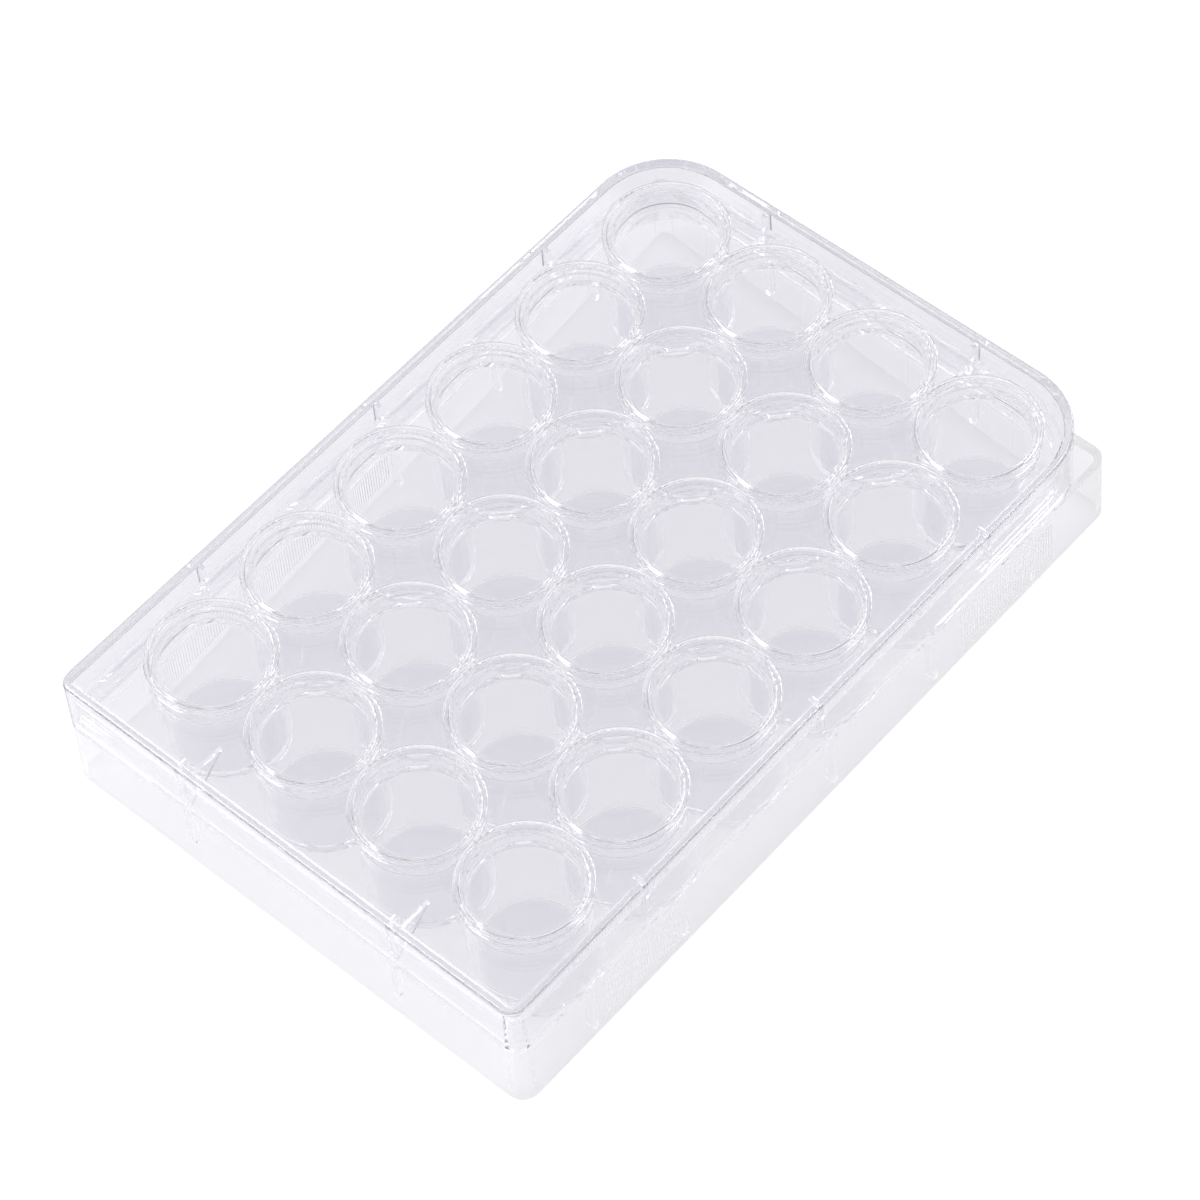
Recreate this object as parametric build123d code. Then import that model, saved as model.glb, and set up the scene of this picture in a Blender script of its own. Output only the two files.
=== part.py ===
from build123d import *
import os
from math import atan, degrees

# A 24-well culture plate with its loose lid, both clear polystyrene mouldings.
# Millimetres, +Z up. The origin is at the middle of the footprint, on the surface the plate stands on.
# +X points to the end with the two large keyed corners, and the rows of six wells run along X.

# Footprint and skirt
foot_length = 127.76
foot_width = 85.48
foot_corner_radius = 2.8
skirt_top = 12.4
skirt_inset = 0.35
skirt_wall = 1.2
shelf_thickness = 1.2

# Riser and deck that the lid slips over
deck_top = 17.9
deck_thickness = 1.2
riser_wall = 1.2
deck_edge_round = 0.35
cavity_corner_radius = 0.5

# Wells
well_rows = 4
well_columns = 6
well_pitch = 19.3
well_grid_shift = 1.9
well_mouth_diameter = 15.7
well_taper = 0.2
well_wall = 1.0
well_floor = 3.4
floor_thickness = 1.2
foot_round = 0.5
well_root = 0.35
floor_round = 0.55
rim_rise = 2.0
rim_wall = 0.55
rim_round = 0.25

# Lid
lid_wall = 1.2
lid_top_thickness = 1.2
lid_headroom = 1.1
lid_clearance = 0.35
lid_edge_gap = 0.1
lid_draw_in = 0.15
lid_edge_round = 0.6
lid_inner_round = 0.4
square_corner_radius = 2.3
key_corner_radius = 12.5

# Condensation rings under the lid, one round each well's rim
ring_clearance = 0.2
ring_wall = 0.95
ring_depth = 1.3
ring_inner_round = 0.6
ring_outer_round = 0.3

# Spacers inside the lid, which rest on the deck's edge and centre the lid on the riser
spacer_width = 0.8
spacer_reach = 0.5
spacer_tail = 3.0
spacer_slack = 0.1
long_side_spacers = (-36.5, 0.0, 36.5)
short_side_spacers = (-19.5, 19.5)

# Ribs inside the skirt, and gussets inside the riser's short walls
rib_thickness = 0.9
rib_depth = 1.1
rib_foot = 0.6
long_side_ribs = (-48.8, -30.0, 1.9, 24.2, 46.2)
short_side_ribs = (-19.3, 19.3)
short_rib_foot = 3.3
gusset_thickness = 0.6
gusset_reach = 5.5
gusset_drop = 5.5

# Grip grooves on the outside of the long sides
groove_pitch = 0.58
groove_width = 0.58
groove_depth = 0.05
grip_bottom = 1.6
grip_top = 10.0
rear_grip = (-47.0, 1.5)
front_grips = ((-47.0, -31.0), (30.0, 50.8))

# How far one shape runs into the next, or past it, so that they join or cut cleanly
overlap = 0.5

# Values worked out from those above
skirt_draft = degrees(atan(skirt_inset / skirt_top))
rib_end = skirt_top - shelf_thickness
rim_top = deck_top + rim_rise
well_floor_diameter = well_mouth_diameter - well_taper
deck_underside = deck_top - deck_thickness
tube_diameter = well_mouth_diameter + 2 * well_wall
rim_diameter = well_mouth_diameter + 2 * rim_wall
floor_underside = well_floor - floor_thickness
lid_bottom = skirt_top + lid_edge_gap
lid_underside = rim_top + lid_headroom
lid_top = lid_underside + lid_top_thickness
lid_length = foot_length - 2 * skirt_inset
lid_width = foot_width - 2 * skirt_inset
lid_draft = degrees(atan(lid_draw_in / (lid_top - lid_bottom)))
riser_inset = lid_wall + lid_clearance + lid_draw_in
riser_length = lid_length - 2 * riser_inset
riser_width = lid_width - 2 * riser_inset


def rounded_outline(length, width, square_radius, key_radius):
    """A rectangle whose two corners at +X have the key radius and the other two the square one."""
    outline = Rectangle(length, width)
    outline = fillet(outline.vertices().group_by(Axis.X)[-1], key_radius)
    return fillet(outline.vertices().group_by(Axis.X)[0], square_radius)


def block(outline, bottom, top, draft=0.0):
    """The outline drawn upwards, closing in by the draft angle."""
    return extrude(Pos(0, 0, bottom) * outline, amount=top - bottom, taper=draft)


def well_places():
    """The middle of each well, on the grid that sits towards the keyed end."""
    return Pos(well_grid_shift, 0, 0) * GridLocations(well_pitch, well_pitch, well_columns, well_rows)


def turned(points, rounds):
    """A closed half section in the XZ plane, turned about Z, with its corners rounded as named."""
    section = make_face(Polyline(*[(x, 0, z) for x, z in points], close=True))
    for x, z, radius in rounds:
        section = fillet(section.vertices().sort_by_distance((x, 0, z))[0], radius)
    return revolve(section, Axis.Z)


def well_tube():
    """One well's outside: a tube that hangs from the deck, and the thinner rim that stands on it."""
    rim = rim_diameter / 2
    tube = tube_diameter / 2
    flange = tube + 2 * well_root
    points = [
        (0, floor_underside),
        (tube, floor_underside),
        (tube, deck_underside),
        (flange, deck_underside),
        (flange, deck_top),
        (rim, deck_top),
        (rim, rim_top),
        (0, rim_top),
    ]
    rounds = [(tube, floor_underside, foot_round), (tube, deck_underside, well_root)]
    rounds += [(rim, deck_top, rim_round), (rim, rim_top, rim_round)]
    return turned(points, rounds)


def well_bore():
    """One well's inside: a slightly tapered bore with a rounded corner at its floor."""
    mouth = well_mouth_diameter / 2
    floor = well_floor_diameter / 2
    points = [
        (0, well_floor),
        (floor, well_floor),
        (mouth, rim_top),
        (mouth, rim_top + overlap),
        (0, rim_top + overlap),
    ]
    return turned(points, [(floor, well_floor, floor_round)])


def skirt():
    """The drafted block of the footprint, up to the shelf that the lid's edge hovers over."""
    outline = rounded_outline(foot_length, foot_width, foot_corner_radius, foot_corner_radius)
    return block(outline, 0, skirt_top, skirt_draft)


def skirt_cavity():
    """The hollow below the shelf, which leaves the skirt's wall."""
    inner_radius = foot_corner_radius - skirt_wall
    length = foot_length - 2 * skirt_wall
    width = foot_width - 2 * skirt_wall
    outline = rounded_outline(length, width, inner_radius, inner_radius)
    return block(outline, 0, skirt_top - shelf_thickness, skirt_draft)


def riser():
    """The block from the shelf up to the deck, with the keyed corners and a rounded top edge."""
    square = max(square_corner_radius - riser_inset, riser_wall)
    outline = rounded_outline(riser_length, riser_width, square, key_corner_radius - riser_inset)
    solid = block(outline, skirt_top - shelf_thickness, deck_top)
    return fillet(solid.faces().sort_by(Axis.Z)[-1].edges(), deck_edge_round)


def riser_cavity():
    """The hollow below the deck, which leaves the riser's wall."""
    key = key_corner_radius - riser_inset - riser_wall
    length = riser_length - 2 * riser_wall
    width = riser_width - 2 * riser_wall
    outline = rounded_outline(length, width, cavity_corner_radius, key)
    return block(outline, 0, deck_underside)


def skirt_rib(half_span, foot):
    """A shallow upright rib on the inside of the skirt's wall at +X."""
    outer = half_span - skirt_inset - skirt_wall / 2
    inner = half_span - skirt_wall - skirt_inset - rib_depth
    height = rib_end - foot + overlap
    return Pos((outer + inner) / 2, 0, foot + height / 2) * Box(outer - inner, rib_thickness, height)


def gusset():
    """A triangle in the corner between the deck's underside and the riser's short wall at +X."""
    wall = riser_length / 2 - riser_wall / 2
    tip = riser_length / 2 - riser_wall - gusset_reach
    low = deck_underside - gusset_drop
    high = deck_underside + deck_thickness / 2
    points = [(wall, 0, high), (tip, 0, high), (tip, 0, deck_underside), (wall, 0, low)]
    return extrude(make_face(Polyline(*points, close=True)), amount=gusset_thickness / 2, both=True)


def ribs_and_gussets():
    """All the ribs of the four sides, and the gussets of the two short ones."""
    pieces = []
    short_side_rib = skirt_rib(foot_length / 2, short_rib_foot) + gusset()
    for turn in (0, 180):
        pieces += [Rot(0, 0, turn) * Pos(0, y, 0) * short_side_rib for y in short_side_ribs]
    long_side_rib = skirt_rib(foot_width / 2, rib_foot)
    for side in (-1, 1):
        pieces += [Rot(0, 0, 90 * side) * Pos(0, -side * x, 0) * long_side_rib for x in long_side_ribs]
    return pieces


def grip_grooves(side, start, end):
    """A field of upright V grooves, each leaning with the skirt's outer face."""
    count = int((end - start) / groove_pitch)
    lean = skirt_inset / skirt_top
    face = foot_width / 2 - lean * grip_bottom
    tip = face - groove_depth
    back = face + groove_depth
    spread = groove_width * (back - tip) / groove_depth / 2
    triangle = Polyline((0, tip), (spread, back), (-spread, back), close=True)
    groove = extrude(
        Pos(0, 0, grip_bottom) * make_face(triangle),
        amount=(grip_top - grip_bottom) * (1 + lean**2) ** 0.5,
        dir=(0, -lean, 1),
    )
    if side < 0:
        groove = mirror(groove, Plane.XZ)
    return [Pos(start + (k + 0.5) * groove_pitch, 0, 0) * groove for k in range(count)]


def well_plate():
    """The lower moulding, in one piece."""
    body = skirt() + riser()
    body -= skirt_cavity() + riser_cavity()
    body += ribs_and_gussets()
    body += [place * well_tube() for place in well_places()]
    body -= [place * well_bore() for place in well_places()]
    grooves = grip_grooves(1, *rear_grip)
    for start, end in front_grips:
        grooves += grip_grooves(-1, start, end)
    return body - grooves


def lid_shell():
    """The lid's top and its drafted wall, rounded outside along the top edge and inside under it."""
    outline = rounded_outline(lid_length, lid_width, square_corner_radius, key_corner_radius)
    outside = block(outline, lid_bottom, lid_top, lid_draft)
    outside = fillet(outside.faces().sort_by(Axis.Z)[-1].edges(), lid_edge_round)
    inside_outline = rounded_outline(
        lid_length - 2 * lid_wall,
        lid_width - 2 * lid_wall,
        square_corner_radius - lid_wall,
        key_corner_radius - lid_wall,
    )
    inside = block(inside_outline, lid_bottom, lid_underside, lid_draft)
    inside = fillet(inside.faces().sort_by(Axis.Z)[-1].edges(), lid_inner_round)
    return outside - inside


def condensation_ring():
    """A bead with rounded edges that hangs from the lid's underside."""
    inner = rim_diameter / 2 + ring_clearance
    outer = inner + ring_wall
    low = lid_underside - ring_depth
    high = lid_underside + lid_top_thickness / 2
    points = [(inner, low), (outer, low), (outer, high), (inner, high)]
    return turned(points, [(inner, low, ring_inner_round), (outer, low, ring_outer_round)])


def hanging_tongue(inner, outer, low):
    """A tongue with a round lower edge that hangs from the lid, between two distances from the middle."""
    radius = spacer_width / 2
    sides = Pos((inner + outer) / 2, 0, (low + radius + lid_underside) / 2)
    sides *= Box(outer - inner, spacer_width, lid_underside - low - radius)
    edge = Pos((inner + outer) / 2, 0, low + radius) * Rot(0, 90, 0) * Cylinder(radius, outer - inner)
    return sides + edge


def spacer(half_span):
    """A spacer on the lid's wall at +X: a foot over the deck's edge and a tail beside the riser."""
    riser_face = half_span - riser_inset
    wall_middle = half_span - lid_wall / 2
    foot = hanging_tongue(riser_face - deck_edge_round - spacer_reach, wall_middle, deck_top)
    tail = hanging_tongue(riser_face + spacer_slack, wall_middle, deck_top - spacer_tail)
    return foot + tail


def spacers():
    """The spacers along all four sides of the lid."""
    pieces = []
    for turn in (0, 180):
        pieces += [Rot(0, 0, turn) * Pos(0, y, 0) * spacer(lid_length / 2) for y in short_side_spacers]
        pieces += [Rot(0, 0, turn + 90) * Pos(0, x, 0) * spacer(lid_width / 2) for x in long_side_spacers]
    return pieces


def lid():
    """The upper moulding, in one piece."""
    body = lid_shell()
    body += [place * condensation_ring() for place in well_places()]
    return body + spacers()


os.makedirs("parts", exist_ok=True)
export_step(well_plate(), "parts/well_plate.step")
export_step(lid(), "parts/lid.step")
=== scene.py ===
import bpy
from math import radians
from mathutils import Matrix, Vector


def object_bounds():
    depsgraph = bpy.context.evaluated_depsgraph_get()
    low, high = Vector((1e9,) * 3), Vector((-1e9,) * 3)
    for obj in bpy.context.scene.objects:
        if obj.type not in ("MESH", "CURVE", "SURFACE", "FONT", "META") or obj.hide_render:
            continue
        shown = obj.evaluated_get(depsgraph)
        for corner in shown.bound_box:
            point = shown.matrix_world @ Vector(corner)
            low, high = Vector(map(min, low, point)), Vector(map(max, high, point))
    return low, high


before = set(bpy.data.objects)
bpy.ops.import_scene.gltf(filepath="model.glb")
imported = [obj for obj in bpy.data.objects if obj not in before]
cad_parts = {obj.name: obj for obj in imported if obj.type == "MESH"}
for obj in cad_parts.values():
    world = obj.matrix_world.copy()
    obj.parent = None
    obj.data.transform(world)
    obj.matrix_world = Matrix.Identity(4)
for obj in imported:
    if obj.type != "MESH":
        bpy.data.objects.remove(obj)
cad_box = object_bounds()
bpy.ops.object.select_all(action="DESELECT")


# --- Plate -------------------------------------------------------------------------------------
# The lower moulding: skirt, deck and wells in one piece of clear, slightly lavender polystyrene.
# It is injection moulded in a polished tool, so its skin is glossy, with faint flow waves.
def flow_waves():
    """A node group for the faint waves that the melt leaves in a moulded skin."""
    group = bpy.data.node_groups.new("flow waves", "ShaderNodeTree")
    sockets = group.interface
    sockets.new_socket("Wave Size", in_out="INPUT", socket_type="NodeSocketFloat")
    sockets.new_socket("Height", in_out="OUTPUT", socket_type="NodeSocketFloat")
    entry = group.nodes.new("NodeGroupInput")
    exit_ = group.nodes.new("NodeGroupOutput")
    place = group.nodes.new("ShaderNodeTexCoord")
    noise = group.nodes.new("ShaderNodeTexNoise")
    noise.inputs["Detail"].default_value = 1.0
    group.links.new(place.outputs["Object"], noise.inputs["Vector"])
    group.links.new(entry.outputs["Wave Size"], noise.inputs["Scale"])
    group.links.new(noise.outputs["Fac"], exit_.inputs["Height"])
    return group


def clear_moulding(name, tint, wave_size, wave_height, tint_and_shade_map=None):
    """Clear polystyrene with a glossy skin and faint flow waves."""
    polystyrene_ior = 1.59
    material = bpy.data.materials.new(name)
    material.use_nodes = True
    nodes, links = material.node_tree.nodes, material.node_tree.links
    shader = nodes["Principled BSDF"]
    shader.inputs["Base Color"].default_value = (*tint, 1)
    # An optional tint map, which here carries painted shade in the wells' floors.
    if tint_and_shade_map:
        painted_shade_map = nodes.new("ShaderNodeGroup")
        painted_shade_map.node_tree = tint_and_shade_map
        links.new(painted_shade_map.outputs["Tint"], shader.inputs["Base Color"])
    shader.inputs["Roughness"].default_value = 0.0
    shader.inputs["IOR"].default_value = polystyrene_ior
    shader.inputs["Transmission Weight"].default_value = 1.0
    waves = nodes.new("ShaderNodeGroup")
    waves.node_tree = bpy.data.node_groups.get("flow waves") or flow_waves()
    waves.inputs["Wave Size"].default_value = wave_size
    bump = nodes.new("ShaderNodeBump")
    bump.inputs["Distance"].default_value = wave_height
    bump.inputs["Strength"].default_value = 1.0
    links.new(waves.outputs["Height"], bump.inputs["Height"])
    links.new(bump.outputs["Normal"], shader.inputs["Normal"])
    return material


def well_floor_painted_shade(walls, floors):
    """A node group for the tint, made a little deeper in the floors of the wells as painted
    shade, for the shaded floor seen through them.
    """
    group = bpy.data.node_groups.new("well floor painted shade", "ShaderNodeTree")
    group.interface.new_socket("Tint", in_out="OUTPUT", socket_type="NodeSocketColor")
    exit_ = group.nodes.new("NodeGroupOutput")
    place = group.nodes.new("ShaderNodeTexCoord")
    split = group.nodes.new("ShaderNodeSeparateXYZ")
    group.links.new(place.outputs["Object"], split.inputs["Vector"])

    def within(axis, middle, reach):
        """One where the axis lies within the reach of the middle, and nought elsewhere."""
        near = group.nodes.new("ShaderNodeMath")
        near.operation = "COMPARE"
        near.inputs[1].default_value = middle
        near.inputs[2].default_value = reach
        group.links.new(split.outputs[axis], near.inputs[0])
        return near.outputs["Value"]

    def both(first, second):
        """The product of two masks."""
        product = group.nodes.new("ShaderNodeMath")
        product.operation = "MULTIPLY"
        group.links.new(first, product.inputs[0])
        group.links.new(second, product.inputs[1])
        return product.outputs["Value"]

    floor_middle, floor_half_depth = 0.0028, 0.0007
    grid_middle, grid_half_length, grid_half_width = 0.0019, 0.0585, 0.0395
    low = within("Z", floor_middle, floor_half_depth)
    grid = both(within("X", grid_middle, grid_half_length), within("Y", 0.0, grid_half_width))
    mix = group.nodes.new("ShaderNodeMix")
    mix.data_type = "RGBA"
    colours = [socket for socket in mix.inputs if socket.type == "RGBA"]
    colours[0].default_value = (*walls, 1)
    colours[1].default_value = (*floors, 1)
    # Painted shade: the wells' floors take the deeper colour, for the shaded floor seen through
    # them.
    group.links.new(both(low, grid), mix.inputs[0])
    mixed = [socket for socket in mix.outputs if socket.type == "RGBA"][0]
    group.links.new(mixed, exit_.inputs["Tint"])
    return group


wave_height = 0.000004
plate_wave_size = 180
plate_tint = (0.984, 0.984, 0.99)
# The wells' floors are tinted deeper as painted shade, for the shaded floor seen through them.
painted_shade_floor_tint = (0.865, 0.865, 0.9)
plate_plastic = clear_moulding("plate polystyrene", plate_tint, plate_wave_size, wave_height,
                               well_floor_painted_shade(plate_tint, painted_shade_floor_tint))
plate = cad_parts["well_plate"]
plate.data.materials.clear()
plate.data.materials.append(plate_plastic)


# --- Lid ---------------------------------------------------------------------------------------
# The upper moulding, in the same clear polystyrene from a polished tool, tinted a little deeper.
# It lies loose over the plate, with its wall round the riser. The plastic takes up some light
# along its length, so edges seen end on are darker than the flat top.
lid_tint = (0.957, 0.952, 0.966)
lid_wave_size = 120
absorbed_colour = (0.2, 0.2, 0.36)
absorbed_density = 10.0
lid_plastic = clear_moulding("lid polystyrene", lid_tint, lid_wave_size, wave_height)
lid_nodes, lid_links = lid_plastic.node_tree.nodes, lid_plastic.node_tree.links
absorption = lid_nodes.new("ShaderNodeVolumeAbsorption")
absorption.inputs["Color"].default_value = (*absorbed_colour, 1)
absorption.inputs["Density"].default_value = absorbed_density
lid_links.new(absorption.outputs["Volume"], lid_nodes["Material Output"].inputs["Volume"])
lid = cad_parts["lid"]
lid.data.materials.clear()
lid.data.materials.append(lid_plastic)


# --- Floor -------------------------------------------------------------------------------------
# A plain white sweep under the plate, white wherever the camera sees it directly. Seen in
# reflections or through the clear plastic, its glow is a painted pool of light under the plate,
# with painted shadow where it dims past the far end, past the far side and along the near side.
floor_size = 40 * (cad_box[1][0] - cad_box[0][0])
floor_lift = 0.00003  # just over the skirt's foot, where a level floor would leave a false line
bpy.ops.mesh.primitive_plane_add(size=floor_size, location=(0, 0, floor_lift))
floor = bpy.context.object
floor.name = "floor"
floor_paint = bpy.data.materials.new("floor paint")
floor_paint.use_nodes = True
floor_nodes, floor_links = floor_paint.node_tree.nodes, floor_paint.node_tree.links
floor_shader = floor_nodes["Principled BSDF"]
floor_shader.inputs["Base Color"].default_value = (0.35, 0.35, 0.35, 1)
floor_shader.inputs["Roughness"].default_value = 0.9
floor_shader.inputs["Specular IOR Level"].default_value = 0.0
floor_shader.inputs["Emission Color"].default_value = (0.985, 0.98, 1.015, 1)
floor_path = floor_nodes.new("ShaderNodeLightPath")
floor_place = floor_nodes.new("ShaderNodeTexCoord")
floor_split = floor_nodes.new("ShaderNodeSeparateXYZ")
floor_links.new(floor_place.outputs["Object"], floor_split.inputs["Vector"])


def floor_maths(operation, first, second):
    """A maths node on two values, each of them a socket or a number."""
    node = floor_nodes.new("ShaderNodeMath")
    node.operation = operation
    for socket, value in zip(node.inputs, (first, second)):
        if isinstance(value, float):
            socket.default_value = value
        else:
            floor_links.new(value, socket)
    return node.outputs[0]


def painted_pool_edge(axis, start, end, depth):
    """Painted light across an edge of the pool under the plate, from one down to the shadow's
    depth.
    """
    fade = floor_nodes.new("ShaderNodeMapRange")
    fade.interpolation_type = "SMOOTHSTEP"
    fade.inputs["From Min"].default_value = start
    fade.inputs["From Max"].default_value = end
    fade.inputs["To Min"].default_value = 1.0
    fade.inputs["To Max"].default_value = depth
    floor_links.new(floor_split.outputs[axis], fade.inputs["Value"])
    return fade.outputs["Result"]


seen_brightness = 0.79
pool_brightness = 0.768
# Painted shadow: the glow dims past the far end, past the far side and along the near side.
far_end = painted_pool_edge("X", 0.059, 0.066, 0.82)
far_side = painted_pool_edge("Y", 0.039, 0.046, 0.86)
near_side = painted_pool_edge("Y", -0.035, -0.048, 0.83)
pool = floor_maths("MULTIPLY", floor_maths("MULTIPLY", far_end, far_side), near_side)
through = floor_maths("MAXIMUM", floor_path.outputs["Is Glossy Ray"],
                      floor_path.outputs["Is Transmission Ray"])
# The painted pool of light, seen only in reflections and through the plastic.
painted_pool_glow = floor_maths("MULTIPLY", floor_maths("MULTIPLY", through, pool), pool_brightness)
white = floor_maths("MULTIPLY", floor_path.outputs["Is Camera Ray"], seen_brightness)
floor_links.new(floor_maths("MAXIMUM", white, painted_pool_glow), floor_shader.inputs["Emission Strength"])
floor.data.materials.append(floor_paint)


# --- Studio ------------------------------------------------------------------------------------
# Soft light from above, falling away to nearly black at the horizon, which draws the thin dark
# lines along the edges. A large soft lamp stands high at each side.
world = bpy.data.worlds.new("studio")
world.use_nodes = True
sky, sky_links = world.node_tree.nodes, world.node_tree.links
sky_place = sky.new("ShaderNodeTexCoord")
sky_split = sky.new("ShaderNodeSeparateXYZ")
sky_ramp = sky.new("ShaderNodeValToRGB")
horizon, overhead = sky_ramp.color_ramp.elements
horizon.position, horizon.color = 0.1, (0.02, 0.02, 0.021, 1)
overhead.position, overhead.color = 0.8, (1.0, 1.0, 1.01, 1)
sky_links.new(sky_place.outputs["Generated"], sky_split.inputs["Vector"])
sky_links.new(sky_split.outputs["Z"], sky_ramp.inputs["Fac"])
sky_links.new(sky_ramp.outputs["Color"], sky["Background"].inputs["Color"])
sky["Background"].inputs["Strength"].default_value = 1.0
bpy.context.scene.world = world


def soft_lamp(name, direction, power):
    """A large rectangular lamp that faces the object from the given direction."""
    distance, width, height = 0.9, 0.6, 0.35
    lamp = bpy.data.lights.new(name, "AREA")
    lamp.shape = "RECTANGLE"
    lamp.size = width
    lamp.size_y = height
    lamp.energy = power
    holder = bpy.data.objects.new(name, lamp)
    holder.location = Vector(direction).normalized() * distance
    holder.rotation_euler = Vector(direction).to_track_quat("Z", "Y").to_euler()
    bpy.context.scene.collection.objects.link(holder)


soft_lamp("left soft lamp", (-0.72, 0.69, 0.8), 3.6)
soft_lamp("right soft lamp", (0.72, -0.69, 0.8), 2.4)

camera_data = bpy.data.cameras.new("camera")
camera_data.sensor_width = 36
camera_data.lens = 135.32
camera_data.clip_start = 0.01
camera = bpy.data.objects.new("camera", camera_data)
camera.location = (-0.25639, -0.26453, 0.53112)
camera.rotation_euler = (radians(35.064), radians(3.282), radians(-48.877))
bpy.context.scene.collection.objects.link(camera)
bpy.context.scene.camera = camera

light_bounces = 160  # a ray meets many walls on its way through the wells
scene = bpy.context.scene
scene.view_settings.view_transform = "Standard"
scene.cycles.max_bounces = light_bounces
scene.cycles.transmission_bounces = light_bounces
scene.cycles.glossy_bounces = light_bounces
